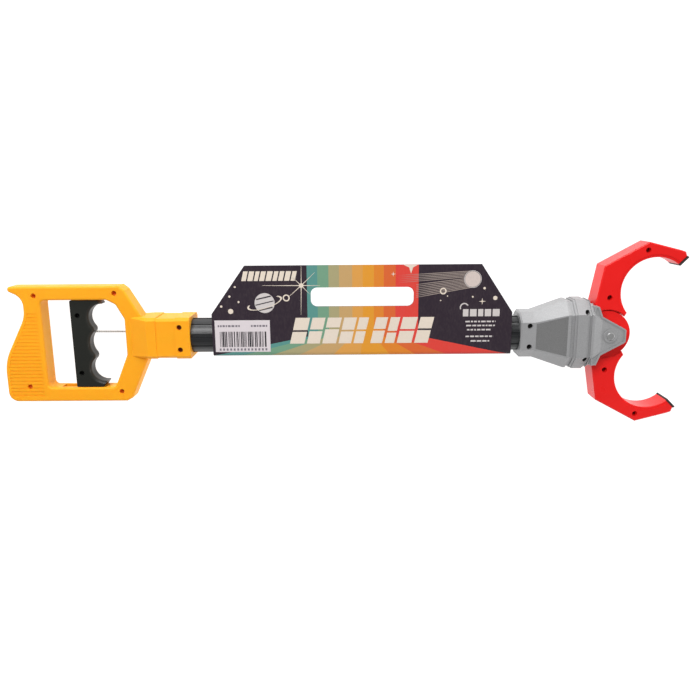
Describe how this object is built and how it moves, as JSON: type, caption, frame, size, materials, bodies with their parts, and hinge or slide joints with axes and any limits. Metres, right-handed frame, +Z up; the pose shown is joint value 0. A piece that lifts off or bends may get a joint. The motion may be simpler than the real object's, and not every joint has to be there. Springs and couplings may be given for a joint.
{
  "type": "toy claw grabber",
  "caption": "Hand-held toy claw grabber: a saw-style handle with a pull trigger works hooked claws at the end of a tube with a printed card header.",
  "frame": {"origin": "under the middle of the toy's bounding box, on the surface it lies on", "axes": "+X along the tube from the handle to the claws, +Y towards the side on which the card header stands, +Z up out of the table, the direction in which the toy is thin"},
  "size_m": [0.457, 0.1224, 0.0324],
  "materials": {
    "handle_plastic": "satin moulded orange",
    "trigger_plastic": "semi-gloss black",
    "tube_plastic": "satin black, fluted",
    "head_plastic": "silver-grey moulded plastic",
    "claw_plastic": "glossy red",
    "pad_rubber": "matt black",
    "card_print": "printed, satin",
    "label_print": "printed, matt",
    "inner_plastic": "natural white",
    "steel": "zinc plated",
    "cord_fibre": "braided, pale grey"
  },
  "bodies": {
    "frame": {"handle_shell_front": "handle_plastic", "handle_shell_back": "handle_plastic", "handle_screws": "steel", "neck_screws": "steel", "cord_guide_bush": "inner_plastic", "tube": "tube_plastic", "spring_seat": "inner_plastic", "head_shell_front": "head_plastic", "head_shell_back": "head_plastic", "head_rear_screws": "steel", "head_front_screws": "steel", "pivot_pin": "steel", "pivot_push_nut": "steel", "header_card": "card_print", "bar_label": "label_print", "return_spring": "steel"},
    "trigger": {"trigger_shell_front": "trigger_plastic", "trigger_shell_back": "trigger_plastic", "trigger_screws": "steel", "pull_cord": "cord_fibre", "trigger_cord_ferrule": "steel", "yoke_cord_ferrule": "steel", "drive_yoke": "inner_plastic", "drive_pins": "steel"},
    "upper_claw": {"upper_claw_shell_front": "claw_plastic", "upper_claw_shell_back": "claw_plastic", "upper_claw_screws": "steel", "upper_claw_pad": "pad_rubber"},
    "lower_claw": {"lower_claw_shell_front": "claw_plastic", "lower_claw_shell_back": "claw_plastic", "lower_claw_screws": "steel", "lower_claw_pad": "pad_rubber"}
  },
  "joints": [
    {"name": "trigger_slide", "type": "slide", "parent": "frame", "child": "trigger", "axis": [-1, 0, 0], "range_m": [0, 0.012], "stiffness_N_per_m": 150, "springref_m": -0.01, "deforming": ["return_spring"]},
    {"name": "upper_claw_hinge", "type": "hinge", "parent": "frame", "child": "upper_claw", "pos_m": [0.17818, 0, 0.0162], "axis": [0, 0, -1], "range_deg": [0, 45]},
    {"name": "lower_claw_hinge", "type": "hinge", "parent": "frame", "child": "lower_claw", "pos_m": [0.17818, 0, 0.0162], "axis": [0, 0, 1], "range_deg": [0, 45]}
  ],
  "couplings": [
    {"joint": "upper_claw_hinge", "follows": "trigger_slide", "rad_per_m": 65.45},
    {"joint": "lower_claw_hinge", "follows": "trigger_slide", "rad_per_m": 65.45}
  ]
}
